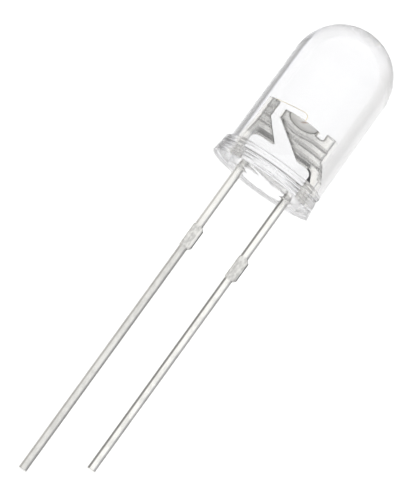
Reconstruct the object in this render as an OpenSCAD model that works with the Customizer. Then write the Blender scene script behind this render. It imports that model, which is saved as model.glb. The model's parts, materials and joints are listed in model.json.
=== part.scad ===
// Round through hole LED: a clear epoxy lens cast round a stamped two-lead frame.
//
// Every piece is drawn with the lens axis along Z, the flange's underside at z = 0 and the
// cathode at +X. The finished part lies on the rim of its flange, dome towards +Y, with both
// leads in the horizontal plane through the lens axis.

/* [Lens] */
// Diameter of the barrel where it meets the flange
lens_d = 5; // [4.1:0.05:6]
// Draft of the barrel, in degrees a side
lens_draft = 0.4; // [0.2:0.1:1.5]
// Height from the flange's underside to the crown of the dome
lens_h = 8.6; // [7:0.1:12]
// Radius of the fillet between barrel and flange
lens_fillet = 0.12; // [0.05:0.01:0.2]

/* [Flange] */
// How far the flange stands out from the barrel
flange_overhang = 0.3; // [0.2:0.005:0.6]
// Thickness of the flange
flange_t = 0.9; // [0.8:0.05:1.4]
// Rounding of the flange's edges
flange_edge = 0.05; // [0.03:0.01:0.18]
// How far the cathode's flat stands out from the barrel
flat_overhang = 0.06; // [0.02:0.005:0.15]
// Radius of the epoxy that creeps down each lead
creep_r = 0.06; // [0.04:0.01:0.25]
// Width of the creep's lip outside the corners of the sheet
creep_land = 0.02; // [0.01:0.005:0.05]

/* [Leads] */
// Distance between the centres of the two leads
lead_pitch = 2.54; // [2.1:0.01:3.1]
// Width of a lead across the sheet
lead_w = 0.45; // [0.36:0.01:0.6]
// Thickness of the sheet that the frame is stamped from
sheet_t = 0.5; // [0.4:0.01:0.6]
// Rounding that the tin leaves on the corners of a lead
lead_edge = 0.1; // [0.02:0.01:0.15]
// Length of the anode lead below the flange
anode_len = 17.1; // [10:0.1:30]
// Length of the cathode lead below the flange
cathode_len = 15.3; // [8:0.1:28]

/* [Dam-bar stubs] */
// Depth of a stub's middle below the flange
stub_depth = 3.9; // [2:0.1:6]
// Length of a stub along its lead
stub_len = 1.2; // [0.6:0.05:2]
// How far a stub stands out towards the anode side
stub_out_anode = 0.03; // [0.01:0.01:0.25]
// How far a stub stands out towards the cathode side
stub_out_cathode = 0.13; // [0.05:0.01:0.25]
// Rounding of a stub's sheared corners
stub_round = 0.08; // [0.02:0.01:0.1]

/* [Anvil and reflector cup] */
// Height of the cup's rim
rim_z = 3.33; // [3:0.01:4]
// Offset of the cup from the lens axis
cup_x = -0.09; // [-0.15:0.01:0.1]
// Outer diameter of the cup's rim
cup_d = 1.2; // [0.96:0.01:1.4]
// Width of the flat land round the cup's mouth
cup_land = 0.07; // [0.04:0.01:0.12]
// Depth of the cup
cup_depth = 0.3; // [0.2:0.01:0.4]
// Radius of the cup's floor
cup_floor_r = 0.25; // [0.2:0.01:0.3]
// Height of the swaged, bowl-shaped boss that carries the cup
boss_h = 0.47; // [0.4:0.01:0.7]
// Chamfer of the cup's rim
rim_edge = 0.02; // [0.01:0.005:0.04]
// Width of the sheet's shoulder beside the cup
shoulder_w = 0.1; // [0.04:0.01:0.3]
// Height of the shoulder's upright side
shoulder_h = 0.43; // [0.3:0.01:0.6]
// Rounding of the anvil's corners below the shoulder
heel_round = 0.1; // [0.04:0.01:0.2]
// Height of the anvil's lower edge, and of the flag's
heel_z = 1.63; // [1.3:0.01:1.9]
// Length of the anvil's lower edge
heel_w = 0.64; // [0.5:0.01:0.9]
// Width of the notch between cup and ear
notch_w = 0.21; // [0.12:0.01:0.25]
// Depth of the notch below the cup's rim
notch_h = 0.21; // [0.1:0.01:0.3]
// How far the ear's outer side is set in from the lead's
ear_step = 0.385; // [0.2:0.005:0.5]

/* [Post] */
// Rise of the post's top, and of the ear's, above the cup's rim
post_rise = 0.15; // [0.1:0.01:0.4]
// Gap between the post and the anvil's shoulder
post_gap = 0.26; // [0.15:0.01:0.35]
// How far the post's outer side is set in from the lead's
post_step = 0.075; // [0.05:0.005:0.3]
// Height at which the outer sides reach their full step
step_z = 2.25; // [2:0.01:2.5]
// Height at which the flag's slanted side starts
flag_top_z = 2.67; // [2.4:0.01:3]
// Reach of the flag's tip past its lead
flag_reach = 0.65; // [0.4:0.01:0.8]
// Rounding of the corner where the flag's slanted side meets the post
flag_round = 0.12; // [0.05:0.01:0.4]

/* [Anode neck] */
// How far the anode's neck is set in on its inner side
waist_w = 0.19; // [0.04:0.01:0.22]
// Height at which the neck starts to narrow
waist_start_z = 0.35; // [0.2:0.01:0.5]
// Height from which the neck is narrow
waist_end_z = 0.95; // [0.7:0.01:1.1]

/* [Corners of the stamping] */
// Rounding of the corners that the punch cuts
punch_round = 0.05; // [0.02:0.01:0.08]
// Rounding of the inner corner where a neck meets its flag or anvil
neck_round = 0.3; // [0.1:0.01:0.4]
// Rounding of the bends in the sides of the necks and leads
step_round = 0.2; // [0.05:0.01:0.3]

/* [Locking grooves] */
// Number of grooves coined across the frame
groove_count = 3; // [1:1:4]
// Height of the lowest groove across the anvil
anvil_groove_z = 2.01; // [1.8:0.01:2.3]
// Height of the lowest groove across the post
post_groove_z = 2.28; // [1.9:0.01:2.4]
// Distance from groove to groove
groove_pitch = 0.39; // [0.25:0.01:0.45]
// Width of a groove
groove_w = 0.15; // [0.08:0.01:0.2]
// Depth of a groove
groove_t = 0.05; // [0.02:0.005:0.08]

/* [Die and wire] */
// Side of the square die
chip_w = 0.26; // [0.2:0.01:0.32]
// Thickness of the die
chip_t = 0.18; // [0.1:0.01:0.25]
// Thickness of the silver epoxy under the die
pad_t = 0.02; // [0.01:0.005:0.04]
// Height that the silver epoxy climbs up the die
pad_climb = 0.05; // [0.02:0.01:0.08]
// Diameter of the bond wire
wire_d = 0.03; // [0.025:0.005:0.05]
// Radius of the wire's bend above the die
wire_bend = 0.16; // [0.1:0.01:0.2]
// Fall of the wire towards the post, in degrees
wire_slope = 12; // [8:1:20]
// Diameter of the ball bond on the die
ball_d = 0.09; // [0.07:0.01:0.12]
// Thickness of the ball bond
ball_t = 0.03; // [0.02:0.01:0.04]
// Thickness of the flattened bond on the post
stitch_t = 0.02; // [0.01:0.005:0.03]

/* [Hidden] */
$fn = 64;
// Straight steps in a rounded corner of the stamped outline
corner_steps = 6;
// Largest share of a side that one of its rounded corners may take
corner_share = 0.45;
// Straight steps in the bowl of the boss
bowl_steps = 10;
// Height at which the outer sides start to step in
side_z = 1.5;
// Small overlap that lets a cutter reach past the face it opens
past = 0.05;

lens_r = lens_d / 2;
flange_r = lens_r + flange_overhang;
flat_x = lens_r + flat_overhang;
// The dome is a sphere that meets the drafted barrel without a crease
dome_r = (lens_r * cos(lens_draft) - (lens_h - flange_t) * sin(lens_draft)) / (1 - sin(lens_draft));
dome_z = lens_h - dome_r;
dome_start_r = dome_r * cos(lens_draft);
dome_start_z = dome_z + dome_r * sin(lens_draft);

lead_x = lead_pitch / 2;
lead_in = lead_x - lead_w / 2;
lead_out = lead_x + lead_w / 2;
// The creep ends in a thin lip outside the sheet's corners, where the tinned lead starts
creep_lip = norm([lead_w, sheet_t]) / 2 + creep_land;
tin_z = -creep_r;

cup_r = cup_d / 2;
post_top_z = rim_z + post_rise;
anvil_left = cup_x - cup_r - shoulder_w;
ear_left = cup_x + cup_r + notch_w;
ear_right = lead_out - ear_step;
post_left = post_step - lead_out;
post_right = anvil_left - post_gap;
floor_z = rim_z - cup_depth;
chip_z = floor_z + pad_t;
chip_top_z = chip_z + chip_t;

// The wire falls in a straight line from its bend to the middle of the post's top
wire_r = wire_d / 2;
stitch_x = (post_left + post_right) / 2;
stitch_z = post_top_z + wire_r / cos(wire_slope);
slope_x = cup_x - wire_bend * (1 + sin(wire_slope));
slope_z = stitch_z + (slope_x - stitch_x) * tan(wire_slope);
bend_z = slope_z - wire_bend * cos(wire_slope);
fall_len = (slope_x - stitch_x) / cos(wire_slope);

// --- Rounded outlines -------------------------------------------------------------------------

function unit(v) = v / norm(v);

// Corner b of an outline, on the way from a to c, rounded to radius r where its sides allow it
function corner(a, b, c, r) =
    let (
        to_a = unit(a - b),
        to_c = unit(c - b),
        half = acos(to_a * to_c) / 2,
        radius = min(r, corner_share * min(norm(a - b), norm(c - b)) * tan(half)),
        centre = b + unit(to_a + to_c) * radius / sin(half),
        first = b + to_a * radius / tan(half) - centre,
        start = atan2(first.y, first.x),
        turn = sign(cross(b - a, c - b)) * (180 - 2 * half)
    )
    r == 0 ? [b] : [
        for (i = [0:corner_steps])
            let (angle = start + turn * i / corner_steps)
            centre + radius * [cos(angle), sin(angle)]
    ];

// Outline through corners given as [x, z, radius]
function rounded(corners) =
    let (n = len(corners), at = [for (p = corners) [p.x, p.y]])
    [for (i = [0:n - 1]) each corner(at[(i + n - 1) % n], at[i], at[(i + 1) % n], corners[i].z)];

// --- Lens ---------------------------------------------------------------------------------------

// Half section of barrel and dome
module barrel_section() {
    foot_r = lens_r + flange_t * tan(lens_draft);
    polygon([[0, 0], [foot_r, 0], [dome_start_r, dome_start_z], [0, dome_start_z]]);
    intersection() {
        translate([0, dome_z]) circle(dome_r);
        translate([0, dome_start_z]) square([lens_r, dome_r]);
    }
}

// Half section of the flange, with rounded edges and the fillet that runs up the barrel
module flange_section() {
    square([flange_r - flange_edge, flange_t]);
    translate([0, flange_edge]) square([flange_r, flange_t - 2 * flange_edge]);
    for (z = [flange_edge, flange_t - flange_edge])
        translate([flange_r - flange_edge, z]) circle(flange_edge);
    difference() {
        fillet_x = lens_r - lens_fillet * tan(lens_draft) + lens_fillet / cos(lens_draft);
        square([fillet_x, flange_t + lens_fillet]);
        translate([fillet_x, flange_t + lens_fillet]) circle(lens_fillet);
    }
}

// What the flat leaves standing, seen along the flat: its lower edge is rounded
module flat_section() {
    far = 2 * flange_r;
    translate([-far, -past]) square([far + flat_x - flange_edge, flange_t]);
    translate([-far, flange_edge]) square([far + flat_x, flange_t + lens_fillet]);
    translate([flat_x - flange_edge, flange_edge]) circle(flange_edge);
}

// Round flange with the flat that marks the cathode
module flange() {
    intersection() {
        rotate_extrude() flange_section();
        rotate([90, 0, 0]) linear_extrude(3 * flange_r, center = true) flat_section();
    }
}

// Ring of epoxy that creeps a little way down a lead
module creep() {
    rotate_extrude()
        difference() {
            translate([0, -creep_r]) square([creep_lip + creep_r, creep_r + past]);
            translate([creep_lip + creep_r, -creep_r]) circle(creep_r);
        }
}

module lens_body() {
    color("gainsboro", 0.35)
        lay()
            difference() {
                union() {
                    rotate_extrude() barrel_section();
                    flange();
                    for (x = [-lead_x, lead_x]) translate([x, 0, 0]) creep();
                }
                anode_stamping();
                cathode_stamping();
                chip_block();
                silver_epoxy();
                wire_run();
            }
}

// --- Lead frame ---------------------------------------------------------------------------------

// Flat stamping of the frame's sheet, from an outline of [x, z, radius] corners
module stamping(corners) {
    rotate([90, 0, 0]) linear_extrude(sheet_t, center = true) polygon(rounded(corners));
}

// Tinned lead from its sheared tip up to the creep, with the stub of the dam bar
module lead(length) {
    w = lead_w / 2;
    t = sheet_t / 2;
    section = [[-w, -t, lead_edge], [w, -t, lead_edge], [w, t, lead_edge], [-w, t, lead_edge]];
    translate([0, 0, -length]) linear_extrude(length + tin_z + past) polygon(rounded(section));

    left = -w - stub_out_anode;
    right = w + stub_out_cathode;
    top = stub_len / 2 - stub_depth;
    foot = -stub_len / 2 - stub_depth;
    stamping([
        [-w, foot, 0], [w, foot, 0], [right, foot + stub_out_cathode, stub_round],
        [right, top - stub_out_cathode, stub_round], [w, top, 0], [-w, top, 0],
        [left, top - stub_out_anode, 0], [left, foot + stub_out_anode, 0]
    ]);
}

// V-grooves coined across both faces from the height z up, which key the frame into the epoxy
module locking_grooves(z) {
    for (i = [0:groove_count - 1], y = [-sheet_t / 2, sheet_t / 2])
        translate([0, y, z + i * groove_pitch])
            rotate([90, 0, 90])
                linear_extrude(lens_d, center = true)
                    polygon([[-groove_t, 0], [0, -groove_w / 2], [groove_t, 0], [0, groove_w / 2]]);
}

// Anode: lead, neck and the post whose flag points at the anvil
module anode_stamping() {
    waist_x = -lead_in - waist_w;
    translate([-lead_x, 0, 0]) lead(anode_len);
    difference() {
        stamping([
            [-lead_out, tin_z, 0], [-lead_in, tin_z, 0], [-lead_in, waist_start_z, step_round],
            [waist_x, waist_end_z, step_round], [waist_x, heel_z, neck_round],
            [flag_reach - lead_in, heel_z, punch_round], [post_right, flag_top_z, flag_round],
            [post_right, post_top_z, punch_round], [post_left, post_top_z, punch_round],
            [post_left, step_z, step_round], [-lead_out, side_z, step_round]
        ]);
        locking_grooves(post_groove_z);
    }
}

module anode_lead() {
    color("silver") lay() anode_stamping();
}

// Half section of the boss: a bowl that is widest just under the rim
module boss_section() {
    bowl_h = boss_h - rim_edge;
    polygon([
        [0, 0], [cup_r - rim_edge, 0],
        for (i = [0:bowl_steps])
            let (angle = 90 * i / bowl_steps)
            [cup_r * cos(angle), -rim_edge - bowl_h * sin(angle)]
    ]);
}

// Boss that is swaged out of the sheet's edge to carry the cup
module boss() {
    translate([cup_x, 0, rim_z]) rotate_extrude() boss_section();
}

// Conical hollow of the reflector cup
module cup_hollow() {
    mouth_r = cup_r - cup_land;
    flare = (mouth_r - cup_floor_r) / cup_depth;
    translate([cup_x, 0, floor_z])
        cylinder(h = cup_depth + past, r1 = cup_floor_r, r2 = mouth_r + flare * past);
}

// Cathode: lead, neck and the anvil with its notch, its ear and the reflector cup
module cathode_stamping() {
    notch_z = rim_z - notch_h;
    land_x = cup_x + cup_r - past;
    translate([lead_x, 0, 0]) lead(cathode_len);
    difference() {
        union() {
            difference() {
                stamping([
                    [lead_out, tin_z, 0], [lead_out, side_z, step_round],
                    [ear_right, step_z, step_round], [ear_right, post_top_z, punch_round],
                    [ear_left, post_top_z, punch_round], [ear_left, notch_z, punch_round],
                    [land_x, notch_z, punch_round], [land_x, rim_z, 0],
                    [anvil_left, rim_z, punch_round], [anvil_left, rim_z - shoulder_h, heel_round],
                    [lead_in - heel_w, heel_z, heel_round], [lead_in, heel_z, neck_round],
                    [lead_in, tin_z, 0]
                ]);
                locking_grooves(anvil_groove_z);
            }
            boss();
        }
        cup_hollow();
    }
}

module cathode_lead() {
    color("silver") lay() cathode_stamping();
}

// --- Die and wire -------------------------------------------------------------------------------

module chip_block() {
    translate([cup_x - chip_w / 2, -chip_w / 2, chip_z]) cube([chip_w, chip_w, chip_t]);
}

module led_chip() {
    color("saddlebrown") lay() chip_block();
}

// Silver epoxy that fills the cup's floor and climbs a little way up the die
module silver_epoxy() {
    flare = (cup_r - cup_land - cup_floor_r) / cup_depth;
    edge_t = pad_t / 2;
    difference() {
        translate([cup_x, 0, floor_z]) {
            cylinder(h = edge_t, r1 = cup_floor_r, r2 = cup_floor_r + flare * edge_t);
            translate([0, 0, edge_t])
                cylinder(
                    h = pad_t - edge_t + pad_climb,
                    r1 = cup_floor_r + flare * edge_t,
                    r2 = chip_w / sqrt(2)
                );
        }
        chip_block();
    }
}

module die_attach() {
    color("lightgray") lay() silver_epoxy();
}

// Gold wire: ball on the die, riser, bend, straight fall and the flattened bond on the post
module wire_run() {
    translate([cup_x, 0, chip_top_z]) cylinder(h = ball_t, d = ball_d);
    translate([stitch_x, 0, post_top_z]) cylinder(h = stitch_t, d = ball_d);
    translate([cup_x - wire_bend, 0, bend_z])
        rotate([90, 0, 0]) {
            translate([wire_bend, 0, 0])
                rotate([90, 0, 0]) cylinder(h = bend_z - chip_top_z, r = wire_r);
            rotate_extrude(angle = 90 + wire_slope) translate([wire_bend, 0]) circle(wire_r);
            rotate([0, 0, 90 + wire_slope])
                translate([wire_bend, 0, 0])
                    rotate([-90, 0, 0]) cylinder(h = fall_len, r = wire_r);
        }
}

module bond_wire() {
    color("gold") lay() wire_run();
}

// --- Assembly -----------------------------------------------------------------------------------

// Lays a piece down on the flange's rim, from the upright frame that the pieces are drawn in
module lay() {
    rotate([-90, 0, 0]) children();
}

lens_body();
anode_lead();
cathode_lead();
led_chip();
die_attach();
bond_wire();
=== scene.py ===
import json
import math

import bmesh
import bpy
import numpy as np
from mathutils import Matrix, Vector, kdtree
from mathutils.geometry import delaunay_2d_cdt

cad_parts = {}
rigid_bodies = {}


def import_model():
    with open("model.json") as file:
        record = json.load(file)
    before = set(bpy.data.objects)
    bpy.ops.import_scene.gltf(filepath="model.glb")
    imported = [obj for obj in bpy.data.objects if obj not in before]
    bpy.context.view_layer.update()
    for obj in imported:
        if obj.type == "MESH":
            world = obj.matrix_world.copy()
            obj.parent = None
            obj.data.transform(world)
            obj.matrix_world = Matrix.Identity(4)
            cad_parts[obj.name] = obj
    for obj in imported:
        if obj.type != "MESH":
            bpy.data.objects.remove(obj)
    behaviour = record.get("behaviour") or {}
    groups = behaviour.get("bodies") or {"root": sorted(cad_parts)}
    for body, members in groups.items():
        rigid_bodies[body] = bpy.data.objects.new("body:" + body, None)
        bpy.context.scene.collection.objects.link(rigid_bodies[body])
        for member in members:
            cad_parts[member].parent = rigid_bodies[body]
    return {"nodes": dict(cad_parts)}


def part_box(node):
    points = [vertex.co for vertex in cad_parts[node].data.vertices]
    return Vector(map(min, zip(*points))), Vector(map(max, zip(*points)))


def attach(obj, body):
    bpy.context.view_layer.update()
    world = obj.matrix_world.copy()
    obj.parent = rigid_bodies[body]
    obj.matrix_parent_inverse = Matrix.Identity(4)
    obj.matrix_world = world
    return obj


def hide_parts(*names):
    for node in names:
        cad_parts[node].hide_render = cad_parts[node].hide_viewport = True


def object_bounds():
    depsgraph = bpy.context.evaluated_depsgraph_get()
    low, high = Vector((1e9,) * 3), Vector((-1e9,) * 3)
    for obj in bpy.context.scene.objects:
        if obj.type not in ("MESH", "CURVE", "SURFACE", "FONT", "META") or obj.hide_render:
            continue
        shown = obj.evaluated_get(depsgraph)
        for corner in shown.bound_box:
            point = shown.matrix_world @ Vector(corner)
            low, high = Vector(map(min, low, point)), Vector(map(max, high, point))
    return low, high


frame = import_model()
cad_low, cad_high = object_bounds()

# A water-clear through hole LED: an epoxy lens cast round two stamped, tinned leads. The lens and
# both leads are meshed again here; the die, its silver pad and its gold wire are the CAD's own.

MM = 0.001

# --- Sizes, in millimetres: the lens axis is +Y, the cathode is at +X, and the part lies down ----

BARREL_R = 2.5
DRAFT = math.radians(0.4)
FLANGE_T = 0.9
# Rounding of the flange's lower and upper edge, and of the corner between it and the barrel
FLANGE_EDGE = 0.02
FLANGE_ROUND = 0.05
FLANGE_FILLET = 0.15
# The rim leans in towards its top, as moulded rims do
RIM_DRAFT = 0.11
# Mould lines round the flange's rim: height, least and greatest depth, and half width of each
RIM_LINES = ((0.53, 0.06, 0.085, 0.05), (0.36, 0.0, 0.07, 0.035),
             (0.2, 0.0, 0.045, 0.03), (0.77, 0.005, 0.025, 0.025))
# Between its shallow stretches a mould line has this many deep ones
WORN_PLACES = 5
# How softly the rim runs into the flat
FLAT_SOFTNESS = 0.008
# Epoxy that crept down each lead: radius of its fillet, and how far its lip is from the lead's axis
CREEP_R = 0.03
CREEP_LIP = 0.356

LEAD_X = 1.27
LEAD_W = 0.45
SHEET_T = 0.5
LEAD_IN = LEAD_X - LEAD_W / 2
LEAD_OUT = LEAD_X + LEAD_W / 2
STUB_DEPTH = 3.9
STUB_LEN = 1.2
# How far each lead's stub stands out on the anode's side and on the cathode's
STUB_ANODE_SIDE = 0.03
STUB_CATHODE_SIDE = 0.13
# The drawn lead is a little slimmer than its nominal size, and its corners and tip are soft
WIDTH_SLACK = 0.01
THICKNESS_SLACK = 0.006
LEAD_SQUARENESS = 2.7
STUB_SQUARENESS = 5.0
TIP_ROUND = 0.035

# The stamped sheet inside the lens: its foot, the heels above the leads, the outer shoulder, the
# cup's rim, and the tops of the post and the ear
SHEET_FOOT = -0.04
HEEL_Y = 1.63
HEEL_R = 0.3
SHOULDER_LOW = 1.5
SHOULDER_HIGH = 2.25
RIM_Y = 3.33
TOP_Y = 3.48
# The reflector cup, and the boss that the swage pushed out of the sheet round it
CUP_X = -0.09
CUP_R = 0.6
CUP_LAND = 0.07
CUP_DEPTH = 0.3
CUP_FLOOR_R = 0.25
BOSS_H = 0.47
RIM_EDGE = 0.02
ANVIL_LEFT = -0.79
# Heights of the punch's grooves, how far the anvil's top one bows down, and their section
ANVIL_GROOVES = (1.97, 2.36, 2.75)
POST_GROOVES = (2.28, 2.67, 3.06)
GROOVE_BOW = 0.12
GROOVE_W = 0.26
GROOVE_T = 0.045
GROOVE_LEAN = 0.35
# The punch rolls the sheet's edges over: how far in the roll reaches, and how deep it goes
ROLL_W = 0.16
ROLL_T = 0.1
HEEL_ROLL_W = 0.26
HEEL_ROLL_T = 0.2

# Spacing of the sheet's mesh points along its edge, along its grooves and on its loose grid, and
# the least gaps from the edge, of a ring inside it and of a grid point
EDGE_STEP = 0.025
GROOVE_STEP = 0.03
GRID_STEP = 0.05
EDGE_GAP = 0.009
RING_GAP = 0.012
GRID_GAP = 0.03
# Points of a joined mesh that are closer than this become one
WELD = 0.001

lens_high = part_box("lens_body")[1] / MM
FLANGE_R = lens_high.z
FLAT_X = lens_high.x
LENS_H = lens_high.y
ANODE_LEN = -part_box("anode_lead")[0].y / MM
CATHODE_LEN = -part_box("cathode_lead")[0].y / MM

# --- Helpers ------------------------------------------------------------------------------------


def add_piece(name, mesh, material, slot, *replaced):
    piece = bpy.data.objects.new(name, mesh)
    bpy.context.scene.collection.objects.link(piece)
    mesh.materials.clear()
    mesh.materials.append(material)
    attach(piece, "root")
    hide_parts(*replaced)


def new_mesh(name, verts, faces):
    mesh = bpy.data.meshes.new(name)
    mesh.from_pydata([tuple(v) for v in np.asarray(verts, float) * MM], [], faces)
    mesh.update()
    return mesh


def outward(mesh):
    """Smooth faces that all look outwards."""
    bm = bmesh.new()
    bm.from_mesh(mesh)
    bmesh.ops.recalc_face_normals(bm, faces=bm.faces)
    for face in bm.faces:
        face.smooth = True
    bm.to_mesh(mesh)
    bm.free()
    return mesh


def ring_mesh(name, rings):
    """Mesh through closed rings of points, with both ends fanned to a middle point."""
    count = len(rings[0])
    verts = [point for ring in rings for point in ring]
    faces = []
    for k in range(len(rings) - 1):
        for i in range(count):
            j = (i + 1) % count
            faces.append((k * count + i, k * count + j, (k + 1) * count + j, (k + 1) * count + i))
    for k in (0, len(rings) - 1):
        middle = len(verts)
        verts.append(np.mean(rings[k], axis=0))
        faces += [(middle, k * count + i, k * count + (i + 1) % count) for i in range(count)]
    return outward(new_mesh(name, verts, faces))


def turned(name, x, rows, count):
    """Solid of revolution round the line at x along Y, through rows of (radius, y)."""
    angles = np.linspace(0, 2 * math.pi, count + 1)[:-1]
    rings = [[(x + r * math.cos(a), y, r * math.sin(a)) for a in angles] for r, y in rows]
    return ring_mesh(name, rings)


def combine(mesh, others, operation):
    """Boolean of a mesh with each of the others."""
    scene = bpy.context.scene.collection.objects
    base = bpy.data.objects.new("base", mesh)
    scene.link(base)
    tools = []
    for other in others:
        tool = bpy.data.objects.new("tool", other)
        scene.link(tool)
        tools.append(tool)
        cut = base.modifiers.new("join", "BOOLEAN")
        cut.operation = operation
        cut.solver = "EXACT"
        cut.object = tool
    graph = bpy.context.evaluated_depsgraph_get()
    result = bpy.data.meshes.new_from_object(base.evaluated_get(graph))
    for thing in [base] + tools:
        bpy.data.objects.remove(thing)
    return result


def welded(mesh):
    """Closes the slivers that a boolean leaves along its seams."""
    bm = bmesh.new()
    bm.from_mesh(mesh)
    bmesh.ops.remove_doubles(bm, verts=bm.verts, dist=WELD * MM)
    bmesh.ops.dissolve_degenerate(bm, edges=bm.edges, dist=WELD * MM)
    loose = [edge for edge in bm.edges if not edge.link_faces]
    bmesh.ops.delete(bm, geom=loose, context="EDGES")
    bm.to_mesh(mesh)
    bm.free()
    return outward(mesh)


def arc(centre, radius, start, stop, steps):
    """Points along an arc from start to stop, in degrees."""
    angles = np.linspace(math.radians(start), math.radians(stop), steps + 1)
    return [(centre[0] + radius * math.cos(a), centre[1] + radius * math.sin(a)) for a in angles]


# --- Lens ---------------------------------------------------------------------------------------


def lens_profile(rim_r, wear):
    """Half section of the lens as (radius, height), for a flange that reaches out to rim_r and
    mould lines between their least (0) and greatest (1) depth."""
    top_r = rim_r - RIM_DRAFT * FLANGE_T
    top_edge = min(FLANGE_ROUND, 0.8 * (top_r - BARREL_R))
    # the dome touches the tapered barrel without an edge
    taper = (LENS_H - FLANGE_T) * math.sin(DRAFT)
    dome_r = (BARREL_R * math.cos(DRAFT) - taper) / (1 - math.sin(DRAFT))
    dome_y = LENS_H - dome_r
    rows = [(rim_r * share, 0.0) for share in (0.02, 0.25, 0.5, 0.7, 0.85, 0.92)]
    rows += arc((rim_r - FLANGE_EDGE, FLANGE_EDGE), FLANGE_EDGE, -90, 0, 6)
    for y in np.linspace(FLANGE_EDGE, FLANGE_T - top_edge, 70)[1:-1]:
        lines = sum((low + (high - low) * wear) * math.exp(-((y - line_y) / half) ** 2)
                    for line_y, low, high, half in RIM_LINES)
        rows.append((rim_r - RIM_DRAFT * y - lines, y))
    rows += arc((top_r - top_edge, FLANGE_T - top_edge), top_edge, 0, 90, 14)
    fillet = min(FLANGE_FILLET, 0.9 * (top_r - top_edge - BARREL_R))
    rows += arc((BARREL_R + fillet, FLANGE_T + fillet), fillet, 270, 180, 6)
    start_y = dome_y + dome_r * math.sin(DRAFT)
    for share in np.linspace(0.02, 0.98, 14):
        height = FLANGE_T + fillet + (start_y - FLANGE_T - fillet) * share
        rows.append((BARREL_R - (height - FLANGE_T) * math.tan(DRAFT), height))
    rows += arc((0, dome_y), dome_r, math.degrees(DRAFT), 89.5, 72)
    return rows


def rim_radius(angle):
    """Radius of the flange at an angle round the axis, measured from the flat's side."""
    if math.cos(angle) < 0.5:
        return FLANGE_R
    reaches = (FLANGE_R, FLAT_X / math.cos(angle))
    low = min(reaches)
    return low - FLAT_SOFTNESS * math.log(sum(math.exp((low - r) / FLAT_SOFTNESS) for r in reaches))


def rim_wear(angle):
    """How deep the mould lines are at an angle round the axis, from 0 to 1."""
    return 0.5 - 0.5 * math.cos(WORN_PLACES * (angle - math.pi / 2))


def lens_mesh():
    """The lens's outer skin, with close columns where the flat meets the round rim."""
    corner = math.acos(FLAT_X / FLANGE_R)
    angles = sorted(set(np.linspace(-math.pi, math.pi, 241)[:-1])
                    | {side * corner + d for side in (-1, 1) for d in np.linspace(-0.03, 0.03, 13)})
    columns = [lens_profile(rim_radius(a), rim_wear(a)) for a in angles]
    rings = []
    for row in range(len(columns[0])):
        points = [column[row] for column in columns]
        rings.append([(r * math.cos(a), y, r * math.sin(a)) for (r, y), a in zip(points, angles)])
    return ring_mesh("lens", rings)


def creep_mesh(x):
    """Ring of epoxy round the root of the lead at x."""
    rows = [(CREEP_LIP * 0.3, -CREEP_R), (CREEP_LIP, -CREEP_R)]
    rows += arc((CREEP_LIP + CREEP_R, -CREEP_R), CREEP_R, 180, 90, 8)[1:]
    rows += [(CREEP_LIP + CREEP_R, 0.1)]
    return turned("creep", x, rows, 64)


# --- Stamped frame ------------------------------------------------------------------------------


def unit(v):
    return v / np.linalg.norm(v)


def rounded(corners, steps=8):
    """Outline through corners (x, y, radius), each rounded as far as its sides allow."""
    at = [np.array(c[:2], float) for c in corners]
    points = []
    for k, (x, y, r) in enumerate(corners):
        a, b, c = at[k - 1], at[k], at[(k + 1) % len(at)]
        if r == 0:
            points.append(b)
            continue
        to_a, to_c = unit(a - b), unit(c - b)
        half = math.acos(to_a @ to_c) / 2
        radius = min(r, 0.45 * min(np.linalg.norm(a - b), np.linalg.norm(c - b)) * math.tan(half))
        centre = b + unit(to_a + to_c) * radius / math.sin(half)
        first = b + to_a * radius / math.tan(half) - centre
        start = math.atan2(first[1], first[0])
        side = (b - a)[0] * (c - b)[1] - (b - a)[1] * (c - b)[0]
        turn = math.copysign(math.pi - 2 * half, side)
        for i in range(steps + 1):
            angle = start + turn * i / steps
            points.append(centre + radius * np.array([math.cos(angle), math.sin(angle)]))
    return np.array(points)


def walked(outline, step):
    """The outline with points at most a step apart."""
    points = []
    for a, b in zip(outline, np.roll(outline, -1, axis=0)):
        count = max(1, math.ceil(np.linalg.norm(b - a) / step))
        points += [a + (b - a) * i / count for i in range(count)]
    return np.array(points)


def nearest_edge(points, outline):
    """Vector from the nearest place on the outline to each point."""
    best = np.full((len(points), 2), 1e9)
    for a, b in zip(outline, np.roll(outline, -1, axis=0)):
        along = b - a
        share = np.clip((points - a) @ along / (along @ along), 0, 1)
        gap = points - (a + share[:, None] * along)
        nearer = np.hypot(gap[:, 0], gap[:, 1]) < np.hypot(best[:, 0], best[:, 1])
        best[nearer] = gap[nearer]
    return best


def edge_distance(points, outline):
    gap = nearest_edge(points, outline)
    return np.hypot(gap[:, 0], gap[:, 1])


def rolled_edge(points, outline):
    """How far the punch rolled the sheet over at each point: more on edges that face the leads."""
    gap = nearest_edge(points, outline)
    distance = np.hypot(gap[:, 0], gap[:, 1])
    heel = np.clip(gap[:, 1] / np.maximum(distance, 1e-6), 0, 1) ** 2 * (distance > 1e-5)
    slight = 1 - 0.5 * np.clip((1.6 - points[:, 1]) / 0.4, 0, 1)
    width = slight * ROLL_W + (HEEL_ROLL_W - slight * ROLL_W) * heel
    short = 1 - np.clip(distance / width, 0, 1)
    return slight * ROLL_T + (HEEL_ROLL_T - slight * ROLL_T) * heel, np.sqrt(1 - short ** 2)


def inside(points, outline):
    """True for each point that lies within the outline."""
    odd = np.zeros(len(points), bool)
    x, y = points[:, 0], points[:, 1]
    for a, b in zip(outline, np.roll(outline, -1, axis=0)):
        spans = (a[1] > y) != (b[1] > y)
        cross_x = a[0] + (y - a[1]) / (b[1] - a[1] + 1e-12) * (b[0] - a[0])
        odd ^= spans & (x < cross_x)
    return odd


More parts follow.
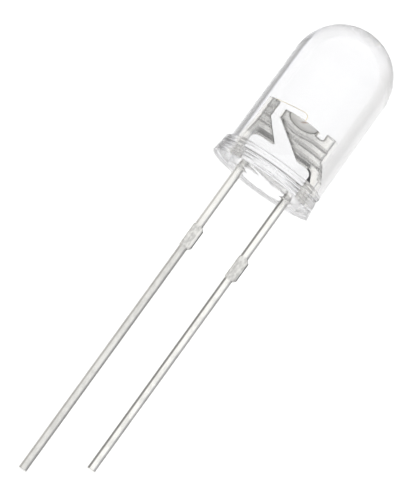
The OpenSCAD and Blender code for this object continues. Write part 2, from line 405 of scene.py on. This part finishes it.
def groove_depth(across):
    """Groove from -1 to 1 across, steeper on its upper side; 1 at its bottom."""
    off = across - GROOVE_LEAN
    share = np.where(off > 0, off / (1 - GROOVE_LEAN), -off / (1 + GROOVE_LEAN))
    return 0.5 + 0.5 * np.cos(math.pi * np.clip(share, 0, 1))


def groove_rows(outline, low, high, groove_line, grooves):
    """Rows of points along the grooves, closest together where a groove is steepest."""
    xs = np.arange(low, high, GROOVE_STEP)
    for k in range(grooves):
        centre = np.array([groove_line(x, k) for x in xs])
        for side in (-0.5, -0.33, -0.16, 0.02, 0.175, 0.26, 0.34, 0.42, 0.5):
            row = np.stack([xs, centre + side * GROOVE_W], 1)
            yield row[inside(row, outline) & (edge_distance(row, outline) > EDGE_GAP)]


def inner_rings(outline, edge):
    """Rings of points that follow the edge at growing depths inside it."""
    tangent = np.roll(edge, -1, axis=0) - np.roll(edge, 1, axis=0)
    area = np.sum(edge[:, 0] * np.roll(edge[:, 1], -1) - edge[:, 1] * np.roll(edge[:, 0], -1))
    inward = np.stack([-tangent[:, 1], tangent[:, 0]], 1) * math.copysign(1, area)
    inward /= np.linalg.norm(inward, axis=1)[:, None]
    for depth in (0.01, 0.03, 0.055, 0.085, 0.12, 0.16, 0.2):
        ring = edge + inward * depth
        yield ring[edge_distance(ring, outline) > 0.97 * depth]


def sheet_points(outline, edge, groove_line, grooves):
    """Points to mesh a sheet through: its edge, its grooves, rings inside it and a loose grid."""
    low, high = edge.min(axis=0), edge.max(axis=0)
    kept = [tuple(p) for p in edge]
    loops = [(i, (i + 1) % len(edge)) for i in range(len(edge))]
    for row in groove_rows(outline, low[0], high[0], groove_line, grooves):
        loops += [(len(kept) + i, len(kept) + i + 1) for i in range(len(row) - 1)
                  if row[i + 1][0] - row[i][0] < GROOVE_STEP + 0.01]
        kept += [tuple(p) for p in row]

    gx, gy = np.meshgrid(*(np.arange(low[k], high[k], GRID_STEP) for k in (0, 1)))
    fields = [(ring, RING_GAP) for ring in inner_rings(outline, edge)]
    fields.append((np.stack([gx.ravel(), gy.ravel()], 1), GRID_GAP))
    for points, gap in fields:
        points = points[inside(points, outline)]
        points = points[edge_distance(points, outline) > EDGE_GAP]
        tree = kdtree.KDTree(len(kept))
        for i, p in enumerate(kept):
            tree.insert((p[0], p[1], 0), i)
        tree.balance()
        kept += [tuple(p) for p in points if tree.find((p[0], p[1], 0))[2] > gap]
    return kept, loops


def sheet_height(flat, outline, groove_line, grooves):
    """Half the sheet's thickness at each point, less where it is rolled over or grooved."""
    roll_t, rise = rolled_edge(flat, outline)
    height = SHEET_T / 2 - roll_t * (1 - rise)
    for k in range(grooves):
        centre = np.array([groove_line(x, k) for x in flat[:, 0]])
        height -= GROOVE_T * groove_depth((flat[:, 1] - centre) / (GROOVE_W / 2))
    return height


def sheet_mesh(name, corners, groove_line, grooves):
    """Stamped sheet with rolled edges and V-grooves; groove_line(x, k) is the height of groove k."""
    outline = rounded(corners)
    edge = walked(outline, EDGE_STEP)
    count = len(edge)
    kept, loops = sheet_points(outline, edge, groove_line, grooves)
    verts, _, faces, origins, _, _ = delaunay_2d_cdt([Vector(p) for p in kept], loops, [], 1, 1e-6)
    flat = np.array([(v[0], v[1]) for v in verts])
    height = sheet_height(flat, outline, groove_line, grooves)

    n = len(flat)
    points = [(x, y, side * z) for side in (1, -1) for (x, y), z in zip(flat, height)]
    polygons = [tuple(f) for f in faces] + [tuple(n + i for i in reversed(f)) for f in faces]
    at_edge = {source: new for new, sources in enumerate(origins)
               for source in sources if source < count}
    rows = [[at_edge[i] for i in range(count)]]
    for share in (0.8, 0, -0.8):
        rows.append(list(range(len(points), len(points) + count)))
        points += [(flat[i][0], flat[i][1], share * height[i]) for i in rows[0]]
    rows.append([n + i for i in rows[0]])
    for upper, lower in zip(rows, rows[1:]):
        for i in range(count):
            j = (i + 1) % count
            polygons.append((upper[i], upper[j], lower[j], lower[i]))
    return outward(new_mesh(name, points, polygons))


def anode_sheet():
    """The post with its pointed flag, above the neck where it leaves the lead."""
    neck_low, neck_high = 0.35, 0.95
    waist = -LEAD_IN - 0.19
    flag_tip, flag_top = -0.395, 2.67
    post_left, post_right = -1.42, -1.05
    corners = [
        (-LEAD_OUT, SHEET_FOOT, 0.1), (-LEAD_IN, SHEET_FOOT, 0.1),
        (-LEAD_IN, neck_low, 0.2), (waist, neck_high, 0.2), (waist, HEEL_Y, HEEL_R),
        (flag_tip, HEEL_Y, 0.05), (post_right, flag_top, 0.12), (post_right, TOP_Y, 0.07),
        (post_left, TOP_Y, 0.07), (post_left, SHOULDER_HIGH, 0.2), (-LEAD_OUT, SHOULDER_LOW, 0.2),
    ]
    return sheet_mesh("post", corners, lambda x, k: POST_GROOVES[k], len(POST_GROOVES))


def anvil_groove(x, k):
    """The top groove bows down under the boss, where the swage pushed the metal."""
    bow = GROOVE_BOW * math.exp(-((x - CUP_X) / 0.36) ** 2) if k == 2 else 0
    return ANVIL_GROOVES[k] - bow


def cathode_sheet():
    """The anvil, slanting on its left, with a notch between the cup and the ear on its right."""
    ear_left, ear_right = 0.72, 1.11
    notch_y = RIM_Y - 0.21
    land_x = CUP_X + CUP_R - 0.05
    slant_high, slant_low = RIM_Y - 0.43, LEAD_IN - 0.64
    corners = [
        (LEAD_OUT, SHEET_FOOT, 0.1), (LEAD_OUT, SHOULDER_LOW, 0.2), (ear_right, SHOULDER_HIGH, 0.2),
        (ear_right, TOP_Y, 0.06), (ear_left, TOP_Y, 0.06), (ear_left, notch_y, 0.05),
        (land_x, notch_y, 0.05), (land_x, RIM_Y, 0), (ANVIL_LEFT, RIM_Y, 0.07),
        (ANVIL_LEFT, slant_high, 0.1), (slant_low, HEEL_Y, 0.1), (LEAD_IN, HEEL_Y, HEEL_R),
        (LEAD_IN, SHEET_FOOT, 0.1),
    ]
    return sheet_mesh("anvil", corners, anvil_groove, len(ANVIL_GROOVES))


def boss_mesh():
    """Round swaged boss, flat on top."""
    rows = [(CUP_R * math.sin(a), RIM_Y - RIM_EDGE - (BOSS_H - RIM_EDGE) * math.cos(a))
            for a in np.linspace(0.03, math.pi / 2, 20)]
    rows += arc((CUP_R - RIM_EDGE, RIM_Y - RIM_EDGE), RIM_EDGE, 0, 90, 4)[1:]
    rows += [(CUP_R * share, RIM_Y) for share in (0.94, 0.9, 0.5, 0.05)]
    return turned("boss", CUP_X, rows, 96)


def hollow_mesh():
    """The cup's hollow: a flat floor and a cone that is cut off above the rim."""
    mouth_r = CUP_R - CUP_LAND
    slope = (mouth_r - CUP_FLOOR_R) / CUP_DEPTH
    floor_y = RIM_Y - CUP_DEPTH
    rows = [(CUP_FLOOR_R * share, floor_y) for share in (0.05, 0.6, 0.95)]
    rows += [(CUP_FLOOR_R + slope * h, floor_y + h) for h in np.linspace(0.01, CUP_DEPTH + 0.05, 6)]
    rows += [(mouth_r * 0.1, RIM_Y + 0.05)]
    return turned("hollow", CUP_X, rows, 96)


def stub_reach(y, reach):
    """How far a stub stands out at height y: full over its length, with sloping ends."""
    end = STUB_LEN / 2 - abs(y + STUB_DEPTH)
    return reach * min(1, max(0, end / reach))


def lead_heights(length):
    """Heights of a lead's rings: close at the tip and at the stubs' ends, even between them."""
    step = 0.12
    tip = [-length + d for d in (0, 0.006, 0.018, TIP_ROUND, 0.06)]
    even = list(np.arange(-length + step, 0.08, step)) + [0.1]
    steps = (-0.03, 0, STUB_ANODE_SIDE, 0.08, STUB_CATHODE_SIDE, 0.16, 0.2)
    ends = [-STUB_DEPTH - side * (STUB_LEN / 2 - d) for side in (-1, 1) for d in steps]
    return sorted(set(np.round(tip + even + ends, 4)))


def lead_mesh(x, length, phase):
    """Tinned lead: a soft-cornered square bar with a sheared tip and the stubs of the dam bar."""
    half_w = LEAD_W / 2 - WIDTH_SLACK
    rings = []
    for y in lead_heights(length):
        short = max(0, TIP_ROUND - (y + length))
        tuck = TIP_ROUND - math.sqrt(max(0, TIP_ROUND ** 2 - short ** 2))
        left = half_w + stub_reach(y, STUB_ANODE_SIDE) - tuck
        right = half_w + stub_reach(y, STUB_CATHODE_SIDE) - tuck
        swell = 0.004 * math.sin(2.3 * y + phase) + 0.003 * math.sin(5.1 * y + 2 * phase)
        half_t = SHEET_T / 2 - THICKNESS_SLACK + swell - tuck
        power = STUB_SQUARENESS if abs(y + STUB_DEPTH) < STUB_LEN / 2 else LEAD_SQUARENESS
        ring = []
        for a in np.linspace(0, 2 * math.pi, 49)[:-1]:
            c, s = math.cos(a), math.sin(a)
            px = math.copysign(abs(c) ** (2 / power), c)
            pz = math.copysign(abs(s) ** (2 / power), s)
            ring.append((x + (right if px > 0 else left) * px, y, half_t * pz))
        rings.append(ring)
    return ring_mesh("lead", rings)


# --- Materials ----------------------------------------------------------------------------------

# The lens: the share of the light that it passes, the rest being haze, and its faint tint
CLARITY = 0.95
EPOXY_IOR = 1.53
EPOXY_TINT = (0.975, 0.975, 0.985, 1)

# Brightness of the tinned metal; a pair is the range that its grain runs through
UNSTRUCK = (0.99, 0.88)
STRUCK = (0.68, 0.53)
TORN = (0.8, 0.54)
LEAD_TOP = 0.98
POLISHED = 0.97
# Painted light: the boss is made brighter than the struck frame round it
BOSS_PAINTED_LIGHT = 0.92
NECK = 0.62
# Painted shade on the edges that face -X and +X
EDGE_SHADE = 0.25
HEEL_BAND = 0.22
# Painted shade in the anvil's grooves
GROOVE_SHADE_TONE = 0.2
# Painted shade round the foot of the boss
BOSS_FOOT_SHADE = 0.2
# Painted shade on the stubs' corners and sides that face +X
STUB_CORNER_SHADE = 0.06
# Painted shade beside the cathode's neck
WEDGE_SHADE = 0.01

# The brown mark on the boss
BROWN_MARK = (0.42, 0.27, 0.19, 1)
MARK_X = -0.07
MARK_Y = 3.24


class Graph:
    """Short names for building a node tree; a value is a number, a colour or a socket."""

    def __init__(self, tree):
        self.tree = tree

    def put(self, node, key, value):
        socket = node.inputs[key]
        if isinstance(value, bpy.types.NodeSocket):
            self.tree.links.new(value, socket)
        else:
            socket.default_value = value

    def math(self, operation, a, b=0.0):
        node = self.tree.nodes.new("ShaderNodeMath")
        node.operation = operation
        self.put(node, 0, a)
        self.put(node, 1, b)
        return node.outputs[0]

    def total(self, first, *others):
        for other in others:
            first = self.math("ADD", first, other)
        return first

    def product(self, first, *others):
        for other in others:
            first = self.math("MULTIPLY", first, other)
        return first

    def minus(self, a, b):
        return self.math("SUBTRACT", a, b)

    def size(self, value):
        return self.math("ABSOLUTE", value)

    def distance(self, dx, dy):
        return self.math("SQRT", self.total(self.product(dx, dx), self.product(dy, dy)))

    def ramp(self, value, low, high, start=0.0, stop=1.0):
        """Smooth step from start, where value is low, to stop, where it is high."""
        node = self.tree.nodes.new("ShaderNodeMapRange")
        node.interpolation_type = "SMOOTHSTEP"
        for key, v in (("Value", value), ("From Min", low), ("From Max", high),
                       ("To Min", start), ("To Max", stop)):
            self.put(node, key, v)
        return node.outputs[0]

    def mix(self, share, a, b):
        """Colour a, or b where share is 1."""
        node = self.tree.nodes.new("ShaderNodeMix")
        node.data_type = "RGBA"
        self.put(node, 0, share)
        self.put(node, 6, a)
        self.put(node, 7, b)
        return node.outputs[2]

    def mix_value(self, share, a, b):
        """Number a, or b where share is 1."""
        node = self.tree.nodes.new("ShaderNodeMix")
        self.put(node, 0, share)
        self.put(node, 2, a)
        self.put(node, 3, b)
        return node.outputs[0]

    def split(self, vector):
        node = self.tree.nodes.new("ShaderNodeSeparateXYZ")
        self.tree.links.new(vector, node.inputs[0])
        return node.outputs

    def place(self):
        """Object coordinates in millimetres, and the normal."""
        node = self.tree.nodes.new("ShaderNodeTexCoord")
        scale = self.tree.nodes.new("ShaderNodeVectorMath")
        scale.operation = "SCALE"
        self.tree.links.new(node.outputs["Object"], scale.inputs[0])
        scale.inputs["Scale"].default_value = 1 / MM
        return scale.outputs[0], node.outputs["Normal"]

    def noise(self, place, scale, stretch=(1, 1, 1), detail=3.0, offset=(0, 0, 0)):
        """Noise, drawn out along an axis where stretch is under 1."""
        mapping = self.tree.nodes.new("ShaderNodeMapping")
        self.tree.links.new(place, mapping.inputs["Vector"])
        mapping.inputs["Scale"].default_value = stretch
        mapping.inputs["Location"].default_value = offset
        noise = self.tree.nodes.new("ShaderNodeTexNoise")
        self.tree.links.new(mapping.outputs[0], noise.inputs["Vector"])
        noise.inputs["Scale"].default_value = scale
        noise.inputs["Detail"].default_value = detail
        return noise.outputs[0]

    def bump(self, height, strength, distance):
        node = self.tree.nodes.new("ShaderNodeBump")
        self.put(node, "Height", height)
        node.inputs["Strength"].default_value = strength
        node.inputs["Distance"].default_value = distance * MM
        return node.outputs[0]


def new_material(name):
    material = bpy.data.materials.new(name)
    material.use_nodes = True
    tree = material.node_tree
    return material, Graph(tree), tree.nodes["Principled BSDF"]


def epoxy():
    """Clear cast epoxy: faint flow marks in its roughness, and a duller free surface underneath."""
    material, g, shader = new_material("clear_epoxy_cast")
    place, normal = g.place()
    shader.inputs["Base Color"].default_value = EPOXY_TINT
    shader.inputs["Transmission Weight"].default_value = CLARITY
    shader.inputs["IOR"].default_value = EPOXY_IOR
    flow = g.ramp(g.noise(place, 0.9, (1, 0.4, 1)), 0.45, 0.75, 0.0, 0.02)
    underneath = g.ramp(g.split(normal)[1], -0.9, -0.98, 0.0, 0.08)
    g.put(shader, "Roughness", g.total(flow, underneath))
    return material


def tone(level):
    """A slightly warm grey."""
    return (level, 0.99 * level, 0.955 * level, 1)


def grained(g, grain, tones):
    """Metal whose grain runs from the first to the second of two tones."""
    return g.mix(g.ramp(grain, 0.35, 0.7), tone(tones[0]), tone(tones[1]))


def frame_metal(name, lead_x, left_edge, core, strip, grooved):
    """Tin over steel: bright rolled faces, painted shade on the edges that face -X and +X, rough
    grey stubs, and a greyer frame inside the lens. left_edge sets the painted shade on the edges
    that face -X, core is the flats' brightness, strip that of a bright strip along the stub, and
    grooved the strength of the painted shade in the punch grooves."""
    material, g, shader = new_material(name)
    place, normal = g.place()
    x, y, z = g.split(place)
    nx = g.split(normal)[0]
    streaks = g.noise(place, 7.0, (1, 0.08, 1), 4.0)
    mottle = g.noise(place, 3.0, (1, 0.6, 1), 3.0, (7, 3, 1))
    grain = g.noise(place, 26.0, (0.5, 1, 1), 4.0, (1, 9, 4))
    within = g.ramp(y, -0.1, 0.3)
    stub = g.ramp(g.size(g.total(y, STUB_DEPTH)), 0.55, 0.7, 1.0, 0.0)
    boss, boss_foot_shade = boss_masks(g, y, z)

    tin = grained(g, mottle, (core, 0.84 * core))
    above_stub = g.ramp(y, -STUB_DEPTH, -STUB_DEPTH + STUB_LEN, 0.0, 0.6)
    tin = g.mix(above_stub, tin, tone(LEAD_TOP))
    colour = g.mix(within, tin, frame_colour(g, x, y, grain, grooved))
    colour = g.mix(stub, colour, stub_colour(g, place, g.minus(x, lead_x), strip))
    # Painted shade on the edges that face -X and +X, and on the stubs' corners that face +X
    colour = g.mix(dark_edges(g, nx, y, left_edge, within, stub), colour, tone(EDGE_SHADE))
    colour = g.mix(g.product(stub, stub_corner_shade(g, nx)), colour, tone(STUB_CORNER_SHADE))
    cut_face = g.ramp(g.size(nx), 0.85, 0.97)
    colour = g.mix(g.product(within, cut_face), colour, tone(POLISHED))
    # Painted shade beside the cathode's neck, painted light on the boss, and painted shade round the
    # boss's foot
    colour = g.mix(neck_wedge_shade(g, x, y), colour, tone(WEDGE_SHADE))
    colour = g.mix(boss, colour, tone(BOSS_PAINTED_LIGHT))
    colour = g.mix(boss_foot_shade, colour, tone(BOSS_FOOT_SHADE))
    g.put(shader, "Base Color", g.mix(brown_mark(g, x, y), colour, BROWN_MARK))

    shader.inputs["Metallic"].default_value = 1.0
    rough = g.total(g.ramp(streaks, 0.3, 0.75, 0.13, 0.26), g.product(stub, 0.22),
                    g.product(within, 0.05), g.product(boss, 0.25))
    g.put(shader, "Roughness", rough)
    g.put(shader, "Normal", g.bump(g.total(streaks, g.product(grain, 0.4)), 0.25, 0.012))
    return material


def frame_colour(g, x, y, grain, grooved):
    """The frame inside the lens: dull where the punch struck it, bright low down and at +X, with
    painted shade in the grooves.
    """
    unstruck = g.math("MAXIMUM", g.ramp(x, 0.3, 1.1), g.ramp(y, 1.6, 1.4))
    colour = g.mix(unstruck, grained(g, grain, STRUCK), grained(g, grain, UNSTRUCK))
    colour = g.mix(g.ramp(y, 1.1, 0.9), colour, tone(NECK))
    colour = g.mix(heel_band(g, x, y), colour, tone(HEEL_BAND))
    return g.mix(g.product(groove_shade(g, x, y), grooved), colour, tone(GROOVE_SHADE_TONE))


def dark_edges(g, nx, y, left_edge, within, stub):
    """Painted shade on the edges that face -X and +X: on the lead's sides, and inside the lens only
    on the rolled corners above the heels. The stubs have none."""
    left = g.ramp(g.product(nx, -1.0), 0.15, 0.5)
    right = g.ramp(nx, 0.15, 0.5)
    side_shade = g.total(g.product(left, left_edge), g.product(right, 0.25))
    rolled = g.total(g.product(left, 0.5), g.product(right, 0.3))
    corner = g.ramp(g.size(nx), 0.8, 0.95, 1.0, 0.0)
    rolled = g.product(rolled, corner, g.ramp(y, 1.4, 1.8))
    return g.mix_value(stub, g.mix_value(within, side_shade, rolled), 0.0)


def stub_colour(g, place, across, shine):
    """Torn grey face of a stub; shine is the strength of a bright strip near its right edge."""
    tear = g.ramp(g.noise(place, 9.0, (1, 0.5, 1), 5.0, (2, 5, 8)), 0.3, 0.7)
    torn = g.mix(tear, tone(TORN[0]), tone(TORN[1]))
    strip = g.product(g.ramp(across, 0.15, 0.19), g.ramp(across, 0.27, 0.25))
    return g.mix(g.product(strip, shine), torn, tone(POLISHED))


def stub_corner_shade(g, nx):
    """Painted shade on the corner between a stub's face and its +X side, and half as much on that
    side.
    """
    return g.product(g.ramp(nx, 0.5, 0.85, 0.0, 0.9), g.ramp(nx, 0.97, 0.995, 1.0, 0.45))


def groove_shade(g, x, y):
    """Painted shade in the anvil's grooves; the top one bows down under the boss."""
    aside = g.size(g.minus(x, CUP_X))
    shade = 0.0
    for line, bow in zip(ANVIL_GROOVES, (0.0, 0.0, GROOVE_BOW)):
        centre = g.ramp(aside, 0.05, 0.7, line - bow, line)
        off = g.size(g.minus(y, centre))
        shade = g.math("MAXIMUM", shade, g.ramp(off, 0.01, 0.085, 1.0, 0.0))
    return shade


def heel_band(g, x, y):
    """Dull band that the punch left above each heel, and not on the cathode's neck."""
    top = g.ramp(x, -0.2, 0.2, HEEL_Y + 0.32, HEEL_Y + 0.25)
    below_top = g.ramp(g.minus(y, top), -0.03, 0.03, 1.0, 0.0)
    above_heel = g.ramp(y, HEEL_Y + 0.06, HEEL_Y + 0.11)
    return g.product(above_heel, below_top, g.ramp(x, 0.85, 1.0, 1.0, 0.0), g.ramp(x, -1.35, -1.05))


def boss_masks(g, y, z):
    """The swaged boss where it is proud of the sheet, and painted shade round its foot where it
    leaves the sheet.
    """
    above = g.ramp(y, RIM_Y - BOSS_H - 0.04, RIM_Y - BOSS_H)
    proud = g.minus(g.size(z), SHEET_T / 2)
    boss = g.product(above, g.ramp(proud, 0.005, 0.02))
    return boss, g.product(g.ramp(proud, 0.03, 0.09, 0.9, 0.0), boss)


def brown_mark(g, x, y):
    """A small brown slanting mark on the boss."""
    dy = g.minus(y, MARK_Y)
    dx = g.product(g.minus(g.minus(x, MARK_X), dy), 1.6)
    return g.ramp(g.distance(dx, dy), 0.02, 0.14, 0.75, 0.0)


def neck_wedge_shade(g, x, y):
    """Painted shade in a band round the cathode's heel and down its neck, wider lower down."""
    dx = g.math("MAXIMUM", g.minus(x, LEAD_IN - HEEL_R), 0.0)
    dy = g.math("MAXIMUM", g.minus(y, HEEL_Y - HEEL_R), 0.0)
    width = g.ramp(y, 1.5, 1.1, 0.09, 0.19)
    off = g.minus(g.distance(dx, dy), g.total(width, HEEL_R))
    band = g.ramp(off, -0.015, 0.015, 1.0, 0.0)
    return g.product(band, g.ramp(y, 1.03, 1.07), g.ramp(x, 0.8, 0.9))


def die_material():
    """Sawn crystal: brown, with fine saw lines on its sides and a paler polished top."""
    material, g, shader = new_material("led_crystal")
    place, normal = g.place()
    top = g.ramp(g.split(normal)[1], 0.5, 0.9)
    saw = g.noise(place, 60.0, (1, 0.1, 1), 2.0)
    sides = g.mix(g.ramp(saw, 0.35, 0.65), (0.30, 0.12, 0.06, 1), (0.42, 0.2, 0.11, 1))
    g.put(shader, "Base Color", g.mix(top, sides, (0.62, 0.42, 0.28, 1)))
    g.put(shader, "Roughness", g.mix_value(top, 0.5, 0.15))
    g.put(shader, "Normal", g.bump(saw, 0.3, 0.002))
    return material


def silver_material():
    """Silver-filled epoxy: bright flakes in a satin paste."""
    material, g, shader = new_material("silver_paste")
    flakes = g.noise(g.place()[0], 90.0)
    flake = g.ramp(flakes, 0.4, 0.65)
    g.put(shader, "Base Color", g.mix(flake, (0.5, 0.5, 0.5, 1), (0.82, 0.82, 0.83, 1)))
    g.put(shader, "Metallic", g.ramp(flakes, 0.4, 0.6, 0.35, 0.9))
    g.put(shader, "Roughness", g.ramp(flakes, 0.4, 0.7, 0.5, 0.3))
    g.put(shader, "Normal", g.bump(flakes, 0.4, 0.004))
    return material


def gold_material():
    """Bright drawn gold, with faint draw lines."""
    material, g, shader = new_material("drawn_gold")
    lines = g.noise(g.place()[0], 120.0, (0.1, 1, 1), 2.0)
    line = g.ramp(lines, 0.35, 0.7)
    g.put(shader, "Base Color", g.mix(line, (0.98, 0.88, 0.62, 1), (0.95, 0.83, 0.55, 1)))
    shader.inputs["Metallic"].default_value = 1.0
    g.put(shader, "Roughness", g.ramp(lines, 0.3, 0.7, 0.14, 0.24))
    return material


# --- Pieces -------------------------------------------------------------------------------------


def build_lens():
    creeps = [creep_mesh(-LEAD_X), creep_mesh(LEAD_X)]
    mesh = welded(combine(lens_mesh(), creeps, "UNION"))
    add_piece("lens", mesh, epoxy(), "clear_epoxy", "lens_body")


def build_anode():
    lead = lead_mesh(-LEAD_X, ANODE_LEN, phase=0.4)
    mesh = welded(combine(anode_sheet(), [lead], "UNION"))
    metal = frame_metal("anode_tin", -LEAD_X, left_edge=0.3, core=0.76, strip=0.6, grooved=0.0)
    add_piece("anode_frame", mesh, metal, "tinned_steel", "anode_lead")


def build_cathode():
    lead = lead_mesh(LEAD_X, CATHODE_LEN, phase=2.1)
    mesh = combine(cathode_sheet(), [lead, boss_mesh()], "UNION")
    mesh = welded(combine(mesh, [hollow_mesh()], "DIFFERENCE"))
    metal = frame_metal("cathode_tin", LEAD_X, left_edge=0.85, core=0.92, strip=0.0, grooved=0.55)
    add_piece("cathode_frame", mesh, metal, "tinned_steel", "cathode_lead")


def finish_small_nodes():
    for node, material in (("led_chip", die_material()), ("die_attach", silver_material()),
                           ("bond_wire", gold_material())):
        frame["nodes"][node].material_slots[0].material = material


# --- Scene --------------------------------------------------------------------------------------

# The camera: tilted from straight above towards the leads, turned a touch to the cathode's side,
# and rolled. Its distance and the point that it looks at are in millimetres.
VIEW_TILT = math.radians(8.8)
VIEW_TURN = math.radians(1.8)
AXIS_ROLL = math.radians(35.88)
CAMERA_FAR = 300
FOCAL = 473
LOOK_AT = (-0.262, -3.93, 0.0)

# The table: its paint, and how much of it blocks the light from below
TABLE_PAINT = (0.9, 0.9, 0.9, 1)
TABLE_COVER = 0.3

# The light: what the camera sees behind everything, the light from below and what each side keeps
# of it, and the light from above at the zenith and down at the horizon
BACKDROP = 1.3
BELOW = 1.25
RIGHT_DARK = 0.12
LEFT_SOFT = 0.78
FRONT_SOFT = 0.85
BEYOND_DOME = 0.2
TOP = 1.1
HORIZON = 0.72
DOME_GLOW = 0.6
SOFTBOX_LEFT = 0.72
SOFTBOX_Y = 0.15
WHITE = (1, 1, 1, 1)
COOL = (0.95, 0.96, 1.0, 1)
WARM = (1.0, 0.99, 0.97, 1)


def set_camera():
    data = bpy.data.cameras.new("camera")
    camera = bpy.data.objects.new("camera", data)
    bpy.context.scene.collection.objects.link(camera)
    data.lens = FOCAL
    data.sensor_width = 36
    data.clip_start = 0.01
    data.clip_end = 20
    back = Vector((math.sin(VIEW_TURN), -math.sin(VIEW_TILT), 0))
    back.z = math.sqrt(1 - back.length_squared)
    axis = Vector((0, 1, 0))
    axis_up = (axis - back * axis.dot(back)).normalized()
    axis_side = axis_up.cross(back)
    right = math.sin(AXIS_ROLL) * axis_up + math.cos(AXIS_ROLL) * axis_side
    up = math.cos(AXIS_ROLL) * axis_up - math.sin(AXIS_ROLL) * axis_side
    turn = Matrix((right, up, back)).transposed().to_4x4()
    camera.matrix_world = Matrix.Translation((Vector(LOOK_AT) + CAMERA_FAR * back) * MM) @ turn
    bpy.context.scene.camera = camera


def table_material():
    """Frosted white: part paint, part clear."""
    material = bpy.data.materials.new("frosted_table")
    material.use_nodes = True
    nodes, links = material.node_tree.nodes, material.node_tree.links
    nodes.clear()
    paint = nodes.new("ShaderNodeBsdfDiffuse")
    paint.inputs["Color"].default_value = TABLE_PAINT
    clear = nodes.new("ShaderNodeBsdfTransparent")
    mix = nodes.new("ShaderNodeMixShader")
    mix.inputs["Fac"].default_value = 1 - TABLE_COVER
    out = nodes.new("ShaderNodeOutputMaterial")
    links.new(paint.outputs[0], mix.inputs[1])
    links.new(clear.outputs[0], mix.inputs[2])
    links.new(mix.outputs[0], out.inputs[0])
    return material


def set_floor():
    """Round frosted table under the part, lit from below."""
    mesh = bpy.data.meshes.new("floor")
    bm = bmesh.new()
    bmesh.ops.create_circle(bm, cap_ends=True, radius=2.0, segments=96)
    bm.to_mesh(mesh)
    bm.free()
    floor = bpy.data.objects.new("floor", mesh)
    floor.location.z = cad_low[2]
    bpy.context.scene.collection.objects.link(floor)
    mesh.materials.append(table_material())


def light_below(g, x, y):
    """A bright table that a dark flag cuts off at +X, and that is dimmer on its other sides."""
    flag = g.product(g.ramp(y, 0.22, 0.45, 1.0 - RIGHT_DARK, 0.15), g.ramp(y, -0.45, -0.1, 0.3, 1.0))
    right = g.minus(1.0, g.product(g.ramp(x, 0.76, 0.83), flag))
    left = g.ramp(x, -0.45, -0.75, 1.0, LEFT_SOFT)
    front = g.ramp(y, -0.5, -0.8, 1.0, FRONT_SOFT)
    beyond = g.ramp(y, 0.25, 0.5, 1.0, BEYOND_DOME)
    return g.product(right, left, front, beyond, BELOW)


def light_above(g, x, y):
    """A softbox round the zenith, set a little towards the dome, over a dimmer horizon."""
    dx = g.product(x, g.ramp(x, -0.1, 0.1, SOFTBOX_LEFT, 1.0))
    off = g.distance(dx, g.minus(y, SOFTBOX_Y))
    horizon = g.total(g.ramp(y, 0.3, 0.9, 0.0, DOME_GLOW), HORIZON)
    return g.ramp(off, 0.45, 0.75, TOP, horizon)


def set_world():
    """Soft studio light from all round, a little blue at +X and a little yellow at -X. The camera
    itself sees an even white backdrop."""
    world = bpy.data.worlds.new("studio")
    bpy.context.scene.world = world
    world.use_nodes = True
    tree = world.node_tree
    g = Graph(tree)
    back = tree.nodes["Background"]
    x, y, z = g.split(tree.nodes.new("ShaderNodeTexCoord").outputs["Generated"])
    seen = tree.nodes.new("ShaderNodeLightPath").outputs["Is Camera Ray"]
    light = g.mix_value(g.ramp(z, -0.12, 0.12), light_below(g, x, y), light_above(g, x, y))
    g.put(back, "Strength", g.mix_value(seen, light, BACKDROP))
    tint = g.mix(g.ramp(x, -0.35, -0.7), WHITE, WARM)
    tint = g.mix(g.ramp(x, 0.7, 0.8), tint, COOL)
    g.put(back, "Color", g.mix(seen, tint, WHITE))


def set_render():
    """Standard colours, and enough bounces for light to cross the lens and the frame in it."""
    scene = bpy.context.scene
    scene.view_settings.view_transform = "Standard"
    scene.cycles.use_denoising = True
    scene.cycles.max_bounces = 48
    scene.cycles.transmission_bounces = 48
    scene.cycles.glossy_bounces = 12
    scene.cycles.caustics_refractive = True
    scene.cycles.caustics_reflective = True


build_lens()
build_anode()
build_cathode()
finish_small_nodes()
set_camera()
set_floor()
set_world()
set_render()
